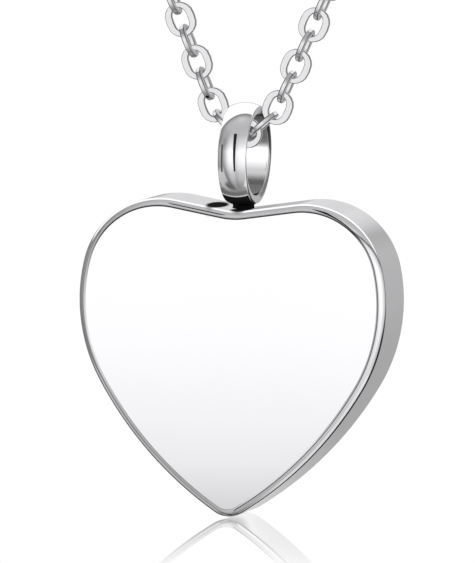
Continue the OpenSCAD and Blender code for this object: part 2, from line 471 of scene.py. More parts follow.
# Two upright painted dark reflections, by the slope of the steel: the sideways part of its normal and half
# of its range, what each gains per degree of tilt, the tilt upwards in degrees and half of its range, and
# depth
UPRIGHT_REFLECTIONS = [(0.107, 0.034, -0.0006, 0.0006, 6.0, 21.5, 1.0), (-0.30, 0.03, 0.0, 0.0, -1.0, 16.0, 0.88)]
# How soft their sides are, as a part of the normal, and their ends, in degrees
LINE_SIDE, LINE_END = 0.006, 1
# The painted dark reflection where a rim meets the side: by the direction that the steel faces, in degrees
# from the right, the forward part of its normal, half of that part's range, and depth
RIM_REFLECTION = [(-180, 0.5, 0.2, 0.0), (-172, 0.5, 0.25, 0.2), (-150, 0.46, 0.3, 0.9), (-100, 0.4, 0.3, 0.95),
            (-88, 0.25, 0.15, 0.6), (-60, 0.24, 0.18, 1.0), (-36, 0.28, 0.26, 1.0), (-10, 0.28, 0.26, 1.0),
            (2, 0.15, 0.1, 0.85), (16, 0.15, 0.1, 0.6), (34, 0.15, 0.1, 0.0), (180, 0.15, 0.1, 0.0)]
# Where its fading starts and ends, as a share of half its range
RIM_FADE = (0.6, 1.15)


def painted_reflection_group():
    """Painted dark reflections on the heart and the bail, as a mask by the direction that their steel
    faces.
    """
    group = start_group("Painted dark reflections", [("Normal", "Vector")], [("Mask", "Float")])
    s = Shade(group)
    aside, backward, upward = s.split(s.node("NodeGroupInput").outputs["Normal"])
    forward = s.math("MULTIPLY", backward, -1.0)
    tilt = s.angle(upward, forward)
    around = s.angle(upward, aside)
    # Painted dark reflection: the steel's colour is darkened by the way its own normal faces
    middle, half, depth = (s.ramp(around, [(stop[0], stop[part]) for stop in RIM_REFLECTION], -180, 180)
                           for part in (1, 2, 3))
    edge = s.math("DIVIDE", s.math("ABSOLUTE", s.math("SUBTRACT", forward, middle)), half)
    mask = s.math("MULTIPLY", s.range(edge, *RIM_FADE, 1.0, 0.0, smooth=True), depth)
    for across, half_across, drift, spread, tilted, half_tilt, depth in UPRIGHT_REFLECTIONS:
        off = s.math("SUBTRACT", aside, s.math("MULTIPLY_ADD", tilt, drift, across))
        limit = s.math("MULTIPLY_ADD", tilt, spread, half_across)
        edge = s.math("SUBTRACT", s.math("ABSOLUTE", off), limit)
        beyond = s.math("ABSOLUTE", s.math("SUBTRACT", tilt, tilted))
        ends = s.below(beyond, half_tilt, LINE_END)
        mask = s.math("MAXIMUM", mask, s.math("MULTIPLY", s.below(edge, 0.0, LINE_SIDE, depth), ends))
    s.link(mask, s.node("NodeGroupOutput").inputs["Mask"])
    return group


def painted_dark_reflections(s):
    """The mask of the painted dark reflections, in a material's node tree."""
    lines = s.node("ShaderNodeGroup", node_tree=bpy.data.node_groups.get("Painted dark reflections") or painted_reflection_group())
    s.link(s.node("ShaderNodeTexCoord").outputs["Normal"], lines.inputs["Normal"])
    return lines.outputs["Mask"]


# Each steel's roughness, how much rougher its marks are, and its relief, and the scales of its marks
MIRROR_FINISH, CHAIN_FINISH = (0.02, 0.03, 0.1), (0.06, 0.04, 0.03)
FINE_SCALE, BROAD_SCALE = 4000.0, 120.0
RELIEF_DEPTH = 0.001 * MM


def steel_material(name, color, roughness, marks, relief):
    """Polished steel: metal all over, with the marks of its polishing in tone, gloss and relief."""
    material = bpy.data.materials.new(name)
    material.use_nodes = True
    s = Shade(material.node_tree)
    shader = material.node_tree.nodes["Principled BSDF"].inputs
    shader["Metallic"].default_value = 1.0
    polish = s.node("ShaderNodeGroup", node_tree=bpy.data.node_groups.get("Polish marks") or polish_group())
    for key, value in (("Color", (*color, 1.0)), ("Roughness", roughness), ("Marks", marks),
                       ("Fine scale", FINE_SCALE), ("Broad scale", BROAD_SCALE)):
        polish.inputs[key].default_value = value
    bump = s.node("ShaderNodeBump")
    bump.inputs["Strength"].default_value = relief
    bump.inputs["Distance"].default_value = RELIEF_DEPTH
    s.link(s.node("ShaderNodeTexCoord").outputs["Object"], polish.inputs["Vector"])
    s.link(polish.outputs["Color"], shader["Base Color"])
    s.link(polish.outputs["Roughness"], shader["Roughness"])
    s.link(polish.outputs["Height"], bump.inputs["Height"])
    s.link(bump.outputs["Normal"], shader["Normal"])
    return material


def blend(material, mask, tone):
    """Turns the steel's colour to the tone where the mask is 1."""
    s = Shade(material.node_tree)
    shader = material.node_tree.nodes["Principled BSDF"]
    mix = s.node("ShaderNodeMix", data_type="RGBA")
    s.link(mask, mix.inputs["Factor"])
    s.link(shader.inputs["Base Color"].links[0].from_socket, mix.inputs[6])
    mix.inputs[7].default_value = (tone, tone, tone, 1.0)
    s.link(mix.outputs[2], shader.inputs["Base Color"])


def darken(material, mask, tone):
    """Turns the steel to a dull dark of the tone where the mask is 1, so that it is dark at any angle."""
    blend(material, mask, tone)
    s = Shade(material.node_tree)
    shader = material.node_tree.nodes["Principled BSDF"]
    metal = shader.inputs["Metallic"]
    before = metal.links[0].from_socket if metal.is_linked else 1.0
    s.link(s.math("MULTIPLY", before, s.math("SUBTRACT", 1.0, mask)), metal)
    shader.inputs["IOR"].default_value = 1.0


# The tone of the painted dark reflections and of the seam
PAINTED_LINE_TONE = 0.02
# Painted reflection and shade of the bail's dark foot on the top wall: middle and half widths across and
# deep, in millimetres, and how dark it is
PAINTED_FOOT_REFLECTIONS = [(-2.0, -0.5, 0.75, 2.8, 1.0), (0.35, -1.6, 1.05, 1.6, 1.0), (1.9, -0.6, 1.3, 2.0, 0.4)]
# Where these painted marks fade out, as shares of the half widths, and how far below the dip they stop
FOOT_FADE, FOOT_DEPTHS = (0.7, 1.05), (0.6 * MM, 0.5 * MM)


def heart_steel(dip_z):
    """Mirror steel with painted dark reflections, the fine seam round each face, and the bail's foot as
    painted reflection and shade in its top.
    """
    material = steel_material("Heart steel", bpy.context.scene.pendant_steel.mirror_color, *MIRROR_FINISH)
    s = Shade(material.node_tree)
    x, y, z = s.split(s.node("ShaderNodeTexCoord").outputs["Object"])
    top = s.range(z, dip_z - FOOT_DEPTHS[0], dip_z - FOOT_DEPTHS[1])
    # The seam attribute is a fine seam deepened with painted dark reflection by its direction round the
    # heart
    seam = s.node("ShaderNodeAttribute", attribute_name="seam").outputs["Fac"]
    mask = s.math("MAXIMUM", painted_dark_reflections(s), seam)
    # Painted reflection and shade of the bail's foot, darkened into the top wall's colour
    for at_x, at_y, half_x, half_y, strength in PAINTED_FOOT_REFLECTIONS:
        across = s.math("DIVIDE", s.math("SUBTRACT", x, at_x * MM), half_x * MM)
        deep = s.math("DIVIDE", s.math("SUBTRACT", y, at_y * MM), half_y * MM)
        away = s.hypot(across, deep)
        spot = s.math("MULTIPLY", s.range(away, *FOOT_FADE, strength, 0.0, smooth=True), top)
        mask = s.math("MAXIMUM", mask, spot)
    darken(material, mask, PAINTED_LINE_TONE)
    return material


# The painted light and shade on the bail, in millimetres: how far its painted dark foot stays below the
# hole, how soft the foot's edge is, and how much it rises towards the band's edges for each squared
# millimetre from the middle
FOOT_BELOW, FOOT_SOFT, FOOT_BOW = 0.02, 0.03, 0.18
# The painted highlight line above the foot: its height, and half its width without and with its edges
HIGHLIGHT_HEIGHT, HIGHLIGHT_WIDTHS = 0.06, (0.03, 0.07)
# Where the painted grey shade above that starts to fade, and where it ends
SHADE_GREY_HEIGHTS = (0.35, 0.85)
# The painted shade in the hole at two heights from the hole's middle, as (low, high, depth below, depth
# above), and how far outside the hole's radius the steel still counts as the hole, which is painted lighter
HOLE_SHADES = [(-2.3, -1.6, 0.8, 0.0), (0.1, 0.9, 0.0, 0.75)]
HOLE_EDGE = (0.01, 0.05)
# The tones of this painted light and shade: the lighter hole, the grey shade, the highlight line and the
# black foot
BAIL_PAINTED_TONES = {"hole": 1.0, "grey": 0.22, "light": 0.85, "foot": 0.015}


def bail_steel(dip, side, middle, inner):
    """Mirror steel with painted dark reflections, a painted highlight and grey shade above its painted
    black foot, and painted light and shade in its hole.
    """
    material = steel_material("Bail steel", bpy.context.scene.pendant_steel.mirror_color, *MIRROR_FINISH)
    s = Shade(material.node_tree)
    x, y, z = s.split(s.node("ShaderNodeTexCoord").outputs["Object"])
    soft, foot = FOOT_SOFT * MM, middle - inner - FOOT_BELOW * MM
    height = s.math("SUBTRACT", z, s.math("MULTIPLY", s.math("POWER", x, 2.0), FOOT_BOW / MM))
    facing = s.range(x, side - soft, side + soft, 1.0, 0.0)
    painted_dark_foot = s.math("MULTIPLY", s.below(height, foot, soft), facing)
    painted_dark_foot = s.math("MULTIPLY", painted_dark_foot, s.range(z, dip - soft, dip))
    rise = s.math("SUBTRACT", z, middle)
    inside = s.range(s.hypot(y, rise), inner + HOLE_EDGE[0] * MM, inner + HOLE_EDGE[1] * MM, 1.0, 0.0)
    below, above = (s.range(rise, low * MM, high * MM, deep, shallow, smooth=True)
                    for low, high, deep, shallow in HOLE_SHADES)
    hole = s.math("MULTIPLY", s.math("MAXIMUM", below, above), inside)
    outside = s.math("MULTIPLY", s.math("SUBTRACT", 1.0, inside), facing)
    start, end = (foot + grey * MM for grey in SHADE_GREY_HEIGHTS)
    fading = s.range(height, start, end, 1.0, 0.0, smooth=True)
    from_line = s.math("ABSOLUTE", s.math("SUBTRACT", height, foot + HIGHLIGHT_HEIGHT * MM))
    line = s.range(from_line, HIGHLIGHT_WIDTHS[0] * MM, HIGHLIGHT_WIDTHS[1] * MM, 1.0, 0.0)
    # Painted light: the hole's steel is turned lighter
    blend(material, inside, BAIL_PAINTED_TONES["hole"])
    # Painted dark reflections by the way the steel faces
    darken(material, painted_dark_reflections(s), PAINTED_LINE_TONE)
    # Painted grey shade above the foot
    darken(material, s.math("MULTIPLY", fading, outside), BAIL_PAINTED_TONES["grey"])
    # Painted highlight line above the foot
    blend(material, s.math("MULTIPLY", line, outside), BAIL_PAINTED_TONES["light"])
    # Painted black of the foot, and painted shade in the hole
    darken(material, s.math("MAXIMUM", painted_dark_foot, hole), BAIL_PAINTED_TONES["foot"])
    return material


# The tone of the painted shade on the links' bevels
BEVEL_SHADE_TONE = 0.2


def chain_steel():
    """Bright steel with the links' bevels darkened by painted shade, for the chain, the clasp and the
    rings.
    """
    material = bpy.data.materials.get("Chain steel")
    if not material:
        color = bpy.context.scene.pendant_steel.chain_color
        material = steel_material("Chain steel", color, *CHAIN_FINISH)
        bevel = Shade(material.node_tree).node("ShaderNodeAttribute", attribute_name="bevel")
        # Painted shade on the links' bevels
        blend(material, bevel.outputs["Fac"], BEVEL_SHADE_TONE)
    return material


# Depth of the seam, partly a painted dark reflection, by its direction from the heart's middle, in degrees,
# where 0 is the right
SEAM_AND_REFLECTION_DEPTHS = [(-180, 0.1), (-150, 0.45), (-110, 0.6), (-92, 0.45), (-80, 0.0), (-50, 0.1), (-25, 0.45),
               (0, 0.6), (36, 0.6), (43, 1.0), (140, 1.0), (160, 0.4), (180, 0.1)]
# Where a painted dark reflection leaves the seam and crosses the rim, at (direction, turn from the face in
# degrees)
REFLECTION_CROSSING = [(26, 84), (28, 78), (33, 62), (38, 33), (42, 12), (45, 0)]
# The turn over which that line fades to both sides
CROSSING_FADE = 13
# How much of the seam is left at a depth below the face, in millimetres
SEAM_FADE = [(0.001, 1.0), (0.01, 0.45), (0.04, 0.15)]


def along(stops, place):
    """The value at a place between the stops, each at (place, value)."""
    for (low, a), (high, b) in zip(stops, stops[1:]):
        if place <= high:
            return a + (b - a) * (place - low) / (high - low)
    return stops[-1][1]


# The flat left inside each rim before it is rounded, and the border inset in each face inside the seam
RIM_LAND, FACE_BORDER = 0.06 * MM, 0.04 * MM
# How straight a polygon looks to the front or back to be part of a face, before the bevel and after it
NEAR_FACE, FLAT_FACE = 0.9, 0.9999
# How far the plug's hole reaches below the dip and its cutter above it
BORE_DEPTH, BORE_ABOVE = 2.6 * MM, 2 * MM


class PENDANT_OT_heart(Operator):
    """Models the heart with its rounded rims and the plug's hole in the dip"""
    bl_idname = "pendant.heart"
    bl_label = "Heart"

    def execute(self, context):
        sizes = context.scene.pendant_heart
        dip_z = HEART_LOW.z + heart_depth(sizes)
        face = -sizes.thickness / 2
        piece = start_from_vertex("heart_shell", (0, 0, dip_z))
        pose = (0.0, dip_z, 0.0)
        for stretch in heart_walk(sizes):
            pose = draw_on(pose, *stretch)
        bpy.ops.object.mode_set(mode="OBJECT")
        apply_modifier(piece, "MIRROR", use_axis=(True, False, False), merge_threshold=MARGIN)
        bpy.ops.object.mode_set(mode="EDIT")
        bpy.ops.mesh.select_all(action="SELECT")
        bpy.ops.mesh.remove_doubles(threshold=WELD)
        bpy.ops.transform.translate(value=(0, face, 0))
        bpy.ops.mesh.edge_face_add()
        border = sizes.rim + RIM_LAND
        for depth in (border, sizes.thickness - 2 * border, border):
            extrude(0, depth, 0)
        bpy.ops.mesh.select_all(action="SELECT")
        bpy.ops.mesh.normals_make_consistent(inside=False)
        self.round_rims(piece, sizes)
        self.bore_dip(piece, sizes, dip_z)
        self.mark_seam(piece, sizes, dip_z - DIP_TO_MIDDLE)
        finish_piece(piece, "heart", heart_steel(dip_z), ["heart_body"])
        return {"FINISHED"}

    def round_rims(self, piece, sizes):
        """Bevels both rims, and sets a narrow flat border inside each so that the faces shade as planes."""
        self.select_facing(piece, NEAR_FACE)
        bpy.ops.mesh.region_to_loop()
        bpy.ops.mesh.bevel(offset=sizes.rim, segments=10, profile=0.5, affect="EDGES")
        self.select_facing(piece, FLAT_FACE)
        for border in (sizes.seam, FACE_BORDER):
            bpy.ops.mesh.inset(thickness=border, depth=0)
        bpy.ops.object.mode_set(mode="OBJECT")

    def select_facing(self, piece, limit):
        """Selects, in edit mode, the polygons that look to the front or the back more than the limit."""
        bpy.ops.mesh.select_mode(type="FACE")
        bpy.ops.mesh.select_all(action="DESELECT")
        bpy.ops.object.mode_set(mode="OBJECT")
        for polygon in piece.data.polygons:
            polygon.select = abs(polygon.normal.y) > limit
        bpy.ops.object.mode_set(mode="EDIT")

    def mark_seam(self, piece, sizes, middle_z):
        """Writes to an attribute the depth of the fine line between each face and its rim, partly painted
        dark reflection, and of the painted reflection line across the rim.
        """
        seam = piece.data.attributes.new("seam", "FLOAT", "POINT")
        vertices, edges = piece.data.vertices, piece.data.edges
        depths = [(sizes.thickness / 2 - abs(v.co.y)) / MM for v in vertices]
        flat = {v.index for v in vertices if depths[v.index] < SEAM_FADE[0][0]}
        pairs = [pair for edge in edges for pair in (tuple(edge.vertices), tuple(reversed(edge.vertices)))]
        outer = {a for a, b in pairs if a in flat and b not in flat}
        lines = outer | {b for a, b in pairs if a in outer and b in flat}
        for v in vertices:
            depth = depths[v.index]
            if depth > sizes.rim / MM or v.index in flat and v.index not in lines:
                continue
            direction = math.degrees(math.atan2(v.co.z - middle_z, v.co.x))
            share = next((share for limit, share in SEAM_FADE if depth < limit), 0.0)
            mark = share * along(SEAM_AND_REFLECTION_DEPTHS, direction)
            if REFLECTION_CROSSING[0][0] < direction < REFLECTION_CROSSING[-1][0]:
                turn = math.degrees(math.acos(1 - max(depth, 0) * MM / sizes.rim))
                mark = max(mark, 1 - abs(turn - along(REFLECTION_CROSSING, direction)) / CROSSING_FADE)
            seam.data[v.index].value = mark

    def bore_dip(self, piece, sizes, dip_z):
        """Drills the hole that the bail's plug goes into."""
        cutter = add_cylinder("cutter", sizes.bore, dip_z - BORE_DEPTH, dip_z + BORE_ABOVE)
        apply_modifier(piece, "BOOLEAN", operation="DIFFERENCE", solver="EXACT", object=cutter)
        bpy.data.objects.remove(cutter)


# The plug's turns of thread, the share of the pitch that each flank and each land takes, and the chamfer at
# its end
THREAD_TURNS, THREAD_FLANK, THREAD_LAND, PLUG_CHAMFER = 7, 0.4, 0.1, 0.1 * MM


class PENDANT_OT_bail(Operator):
    """Models the ring bail, domed outside and flat inside, with its neck and threaded plug"""
    bl_idname = "pendant.bail"
    bl_label = "Bail"

    def execute(self, context):
        sizes = context.scene.pendant_bail
        crown = BAIL_HIGH.y
        half = BAIL_HIGH.x
        middle = BAIL_HIGH.z - crown
        ring = self.band(sizes, half, crown, middle)
        shaft = self.plug(sizes, middle, crown)
        apply_modifier(ring, "BOOLEAN", operation="UNION", solver="EXACT", object=shaft)
        bpy.data.objects.remove(shaft)
        dip_z = HEART_LOW.z + heart_depth(context.scene.pendant_heart)
        steel = bail_steel(dip_z, half - sizes.lean, middle, sizes.inner)
        finish_piece(ring, "bail", steel, ["bail"])
        apply_modifier(ring, "WEIGHTED_NORMAL", weight=50)
        ring.visible_glossy = False
        return {"FINISHED"}

    def band(self, sizes, half, crown, middle):
        """Spins the band's section about the bail's level axis."""
        rise = crown - sizes.inner - sizes.side
        dome = (half * half + rise * rise) / (2 * rise)
        lean = math.degrees(math.asin(half / dome))
        piece = start_from_vertex("bail_ring", (-half, 0, middle + sizes.inner + sizes.side))
        draw_on((-half, middle + sizes.inner + sizes.side, lean), 2 * lean, dome, 16)
        hole = half - sizes.lean
        border = 2 * sizes.inner_edge
        section = ((-sizes.lean, -sizes.side), (-border, 0), (2 * (border - hole), 0), (-border, 0))
        for across, up in section:
            extrude(across, 0, up)
        bpy.ops.mesh.select_all(action="SELECT")
        bpy.ops.mesh.edge_face_add()
        bpy.ops.mesh.delete(type="ONLY_FACE")
        side, waist = hole - MARGIN, middle + sizes.inner + sizes.side / 2
        for above, rounding in ((1, sizes.outer_edge), (-1, sizes.inner_edge)):
            corner = half - MARGIN if above > 0 else side
            select_vertices(piece, lambda co: abs(co.x) > corner and (co.z - waist) * above > 0)
            bpy.ops.mesh.bevel(offset=rounding, segments=5, profile=0.5, affect="VERTICES")
        bpy.ops.mesh.select_all(action="SELECT")
        bpy.ops.mesh.spin(steps=144, angle=math.tau, center=(0, 0, middle), axis=(1, 0, 0))
        weld_all()
        bpy.ops.object.mode_set(mode="OBJECT")
        return piece

    def plug(self, sizes, middle, crown):
        """Turns the neck and the plug with its thread about the upright axis."""
        top = middle - crown + sizes.side
        low = BAIL_LOW.z
        root = sizes.plug - sizes.thread
        shaft = start_from_vertex("plug", (0, 0, low))
        steps = [(root - PLUG_CHAMFER, 0), (PLUG_CHAMFER, PLUG_CHAMFER)]
        flank, land = sizes.pitch * THREAD_FLANK, sizes.pitch * THREAD_LAND
        steps += [(sizes.thread, flank), (0, land), (-sizes.thread, flank), (0, land)] * THREAD_TURNS
        steps.append((sizes.thread, PLUG_CHAMFER))
        for across, up in steps:
            extrude(across, 0, up)
        height = sum(up for _, up in steps)
        extrude(0, 0, top - low - height)
        extrude(-sizes.plug, 0, 0)
        bpy.ops.mesh.select_all(action="SELECT")
        bpy.ops.mesh.spin(steps=48, angle=math.tau, center=(0, 0, 0), axis=(0, 0, 1))
        weld_all()
        bpy.ops.object.mode_set(mode="OBJECT")
        return shaft


# How far the chain's lowest link may lie from the solid one
DRIFT = 0.02 * MM
# How much of a link's section is flat across its broad faces and down its edges
FACE_FLAT, EDGE_FLAT = 0.8, 0.6
# Past this place, vertices lie on the flats of a section that reaches from -1 to 1
ON_FLAT = 0.95
# Between which sideways parts of their normal a link's faces are its bevels, which get painted shade
BEVEL_TURN = (0.3, 0.8)


class ChainPlan:
    """Where every link lies, worked out from the chain's sizes as in the solids."""

    def __init__(self, sizes):
        self.half = (sizes.link_length - sizes.wire) / 2
        self.reach = self.half - sizes.wire - sizes.play
        self.pitch = self.reach + self.half
        self.angle = sizes.strand_angle
        lean = math.sin(self.angle)
        across = (BAIL_HIGH.x + sizes.bail_play + sizes.link_width / 2
                  + (sizes.link_length - sizes.link_width) / 2 * lean - self.reach * (1 + lean))
        self.hook = math.asin(across / (2 * self.half))
        self.start = Vector((self.reach + 2 * self.half * math.sin(self.hook), 0,
                             2 * self.half * math.cos(self.hook)))
        ring_wire = RING_HIGH.z - RING_LOW.z
        ring_radius = (RING_HIGH.y - RING_LOW.y - ring_wire) / 2
        self.top_half = -(RING_LOW.x + RING_HIGH.x) / 2
        to_ring = self.half + ring_radius - (sizes.wire + ring_wire) / 2 - sizes.play
        side = sizes.length / 2 - self.top_half - self.reach - 2 * self.half
        pairs = round((side - to_ring - self.reach) / (2 * self.pitch))
        self.count = 2 * pairs + 1
        length = self.reach + (self.count - 1) * self.pitch + to_ring
        cos, sin = math.cos(self.angle), math.sin(self.angle)
        turns = cos / sin + math.pi / 2 + self.angle
        self.radius = (length - (self.top_half - self.start.x) / sin) / turns
        self.straight = (self.top_half - self.start.x + self.radius * cos) / sin
        self.height = self.start.z + self.straight * cos + self.radius * (1 + sin)

    def strand_link(self, index):
        """(place, lean from the vertical) of a link of the right strand, counted up from the bail."""
        s = self.reach + index * self.pitch
        if s < self.straight:
            along = Vector((math.sin(self.angle), 0, math.cos(self.angle)))
            return self.start + s * along - Vector((0, 0, self.height)), self.angle
        lean = self.angle - (s - self.straight) / self.radius
        return Vector((self.top_half + self.radius * math.cos(lean), 0,
                       -self.radius * (1 + math.sin(lean)))), lean

    def flat_links(self):
        places = [(Vector((0, 0, -self.height)), math.pi / 2)]
        return places + self.both_strands(range(0, self.count, 2))

    def cross_links(self):
        middle = self.half * Vector((math.sin(self.hook), 0, math.cos(self.hook)))
        hook = (Vector((self.reach, 0, -self.height)) + middle, self.hook)
        return self.mirrored([hook]) + self.both_strands(range(1, self.count, 2))

    def both_strands(self, indices):
        return self.mirrored([self.strand_link(i) for i in indices])

    @staticmethod
    def mirrored(places):
        return places + [(Vector((-at.x, at.y, at.z)), -lean) for at, lean in places]


class PENDANT_OT_chain(Operator):
    """Models one oval link and copies it along both strands of the hanging loop"""
    bl_idname = "pendant.chain"
    bl_label = "Chain"

    def execute(self, context):
        sizes = context.scene.pendant_chain
        plan = ChainPlan(sizes)
        drift = abs(LOWEST_LINK_LOW.z + plan.height + sizes.link_width / 2)
        if drift > DRIFT:
            raise ValueError(f"the chain's lowest link lies {drift / MM:.3f} mm from the solid one")
        self.lay("flat_links", "chain_flat_links", sizes, plan.flat_links(), 0.0)
        self.lay("cross_links", "chain_cross_links", sizes, plan.cross_links(), math.pi / 2)
        return {"FINISHED"}

    def lay(self, name, node, sizes, places, turn):
        """Copies one link to each place, turned about its long axis, and joins the copies."""
        first = self.link(sizes)
        copies = []
        for at, lean in places:
            copy = first.copy()
            copy.data = first.data.copy()
            bpy.context.scene.collection.objects.link(copy)
            copy.matrix_world = (Matrix.Translation(at) @ Matrix.Rotation(lean, 4, "Y")
                                 @ Matrix.Rotation(turn, 4, "Z"))
            copies.append(copy)
        bpy.data.objects.remove(first)
        clear_selection()
        for copy in copies:
            copy.select_set(True)
        bpy.context.view_layer.objects.active = copies[0]
        bpy.ops.object.join()
        chain = bpy.context.object
        chain.name = name
        finish_piece(chain, "chain", chain_steel(), [node])
        apply_modifier(chain, "WEIGHTED_NORMAL", weight=50, keep_sharp=True)
        # The bail's mirror-bright band shows no links in the photograph
        chain.visible_glossy = False

    def link(self, sizes):
        """An oval link in the XZ plane, its long way along Z, flattened and widest along its sides."""
        clear_selection()
        half_side = sizes.side_width / 2
        middle = sizes.link_width / 2 - half_side
        turn = math.pi / 8
        bpy.ops.mesh.primitive_circle_add(vertices=8, radius=1 / math.cos(turn), location=(0, 0, 0))
        piece = bpy.context.object
        bpy.ops.object.mode_set(mode="EDIT")
        bpy.ops.mesh.select_all(action="SELECT")
        bpy.ops.transform.rotate(value=turn, orient_axis="Z", center_override=(0, 0, 0))
        for flat, value in ((lambda co: abs(co.y) > ON_FLAT, (FACE_FLAT / math.tan(turn), 1, 1)),
                            (lambda co: abs(co.x) > ON_FLAT, (1, EDGE_FLAT / math.tan(turn), 1))):
            select_vertices(piece, flat)
            bpy.ops.transform.resize(value=value, center_override=(0, 0, 0))
        bpy.ops.mesh.select_all(action="SELECT")
        bpy.ops.transform.resize(value=(half_side, sizes.flat_height / 2, 1), center_override=(0, 0, 0))
        bpy.ops.transform.translate(value=(middle, 0, 0))
        bpy.ops.mesh.spin(steps=20, angle=math.tau, center=(0, 0, 0), axis=(0, 1, 0))
        weld_all()
        inside = middle - MARGIN
        open_end = sizes.link_width / 2 - sizes.side_width
        stretch = (sizes.link_length - sizes.link_width) / 2
        select_vertices(piece, lambda co: math.hypot(co.x, co.z) < inside)
        taller = (sizes.link_length / 2 - sizes.end_width - stretch) / open_end
        bpy.ops.transform.resize(value=(1, 1, taller), center_override=(0, 0, 0))
        for side in (1, -1):
            select_vertices(piece, lambda co: co.z * side > MARGIN)
            bpy.ops.transform.translate(value=(0, 0, side * stretch))
        bpy.ops.object.mode_set(mode="OBJECT")
        # Painted shade: the bevels, picked by the way they face, are marked to be darkened
        bevels = piece.data.attributes.new("bevel", "FLOAT", "FACE")
        for polygon in piece.data.polygons:
            bevels.data[polygon.index].value = BEVEL_TURN[0] < abs(polygon.normal.y) < BEVEL_TURN[1]
        return piece


class PENDANT_OT_clasp(Operator):
    """Models the plain clasp behind the neck and the two jump rings that join it to the chain"""
    bl_idname = "pendant.clasp"
    bl_label = "Clasp and rings"

    def execute(self, context):
        sizes = context.scene.pendant_clasp
        self.clasp(sizes)
        for name, node in (("clasp_jump_ring", "clasp_ring"), ("end_jump_ring", "end_ring")):
            self.jump_ring(name, node)
        return {"FINISHED"}

    def clasp(self, sizes):
        bend = CLASP_HIGH.z - sizes.wire / 2
        straight = sizes.length - 2 * CLASP_HIGH.z
        bend_x = CLASP_HIGH.x - CLASP_HIGH.z
        eye_x = CLASP_LOW.x + sizes.eye / 2
        outer = 2 * bend + sizes.wire
        loop = add_ring("clasp_loop", (bend_x, 0, 0), outer, sizes.wire, 64, 24, upright=True)
        select_vertices(loop, lambda co: co.x < bend_x - MARGIN)
        bpy.ops.transform.translate(value=(-straight, 0, 0))
        eye = add_ring("eye", (eye_x, 0, 0), sizes.eye, sizes.eye_wire, 48, 16, upright=True)
        neck_low = eye_x + (sizes.eye - sizes.eye_wire) / 2
        neck_high = bend_x - straight - bend
        clear_selection()
        bpy.ops.mesh.primitive_cylinder_add(
            vertices=32, radius=sizes.eye_wire / 2, depth=neck_high - neck_low,
            location=((neck_low + neck_high) / 2, 0, 0), rotation=(0, math.pi / 2, 0))
        neck = bpy.context.object
        bpy.ops.object.transform_apply(location=True, rotation=True, scale=False)
        for other in (neck, eye):
            apply_modifier(loop, "BOOLEAN", operation="UNION", solver="EXACT", object=other)
            bpy.data.objects.remove(other)
        finish_piece(loop, "chain", chain_steel(), ["clasp"], angle=40.0)

    def jump_ring(self, name, node):
        """A ring of round wire in the box of its node."""
        low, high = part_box(node)
        ring = add_ring(name, (low + high) / 2, high.y - low.y, high.z - low.z, 64, 20)
        finish_piece(ring, "chain", chain_steel(), [node])


# The light tent: its brightness round the horizon at (azimuth, brightness), where azimuth 0 is in front
# of the pendant and 90 to its right
TENT_ROUND = [(-180, 0.52), (-170, 0.52), (-160, 0.34), (-135, 0.28), (-97, 0.28), (-72, 0.27), (-58, 0.52),
              (-43, 0.45), (-33, 0.85), (-25, 1.2), (-19, 1.3), (-8, 1.3), (2, 1.0), (14, 1.25), (30, 1.3),
              (60, 1.3), (83, 1.0), (104, 0.82), (124, 0.6), (140, 0.5), (166, 0.52), (180, 0.52)]
# Its brightness from straight down to straight up, as a share of that round the horizon
TENT_RISE = [(-90, 0.33), (-78, 0.37), (-64, 0.49), (-52, 0.66), (-39, 0.73), (-34, 0.78), (-28, 0.88),
             (-17, 0.99), (-5, 1.0), (8, 1.1), (12, 1.0), (18, 0.87), (27, 0.72), (36, 0.61), (45, 0.49),
             (62, 0.46), (75, 0.49), (90, 0.6)]
# Overhead this brightness takes the place of the horizon's, between these elevations
TENT_OVERHEAD = 1.3
OVERHEAD_RISE = (20, 60)
# The panels and dark cards in it: azimuth and its half width, elevation and its half height, softness of
# the edges, and brightness
TENT_CARDS = {
    "back glow": (-160, 18, 11, 10, 3, 0.78),
    "back floor": (180, 28, -26, 17, 6, 0.52),
    "left floor": (-112, 36, -48, 24, 8, 0.75),
    "left low": (-72, 24, -38, 14, 5, 0.85),
    "right low": (97, 52, -50, 18, 6, 1.35),
}
# The ceiling behind the pendant, by the cosine of the angle from the camera: where it starts, and how much
# that changes with the sideways part, within limits, of the normal of the steel that mirrors it
CEILING_START, CEILING_LEAN, LEAN_LIMITS = -0.15, 0.15, (-0.12, 0.3)
# The width of its dark edge and the softness of its start, the tones of both, and its lowest elevation with
# the softness there
CEILING_EDGE, CEILING_SOFT, CEILING_TONES = 0.3, 0.02, (0.3, 1.3)
CEILING_LOW, CEILING_FADE = 16, 3
TENT_TINT = (0.99, 0.985, 1.0)
# The brightest that the tables above go
TENT_SPAN = 1.4


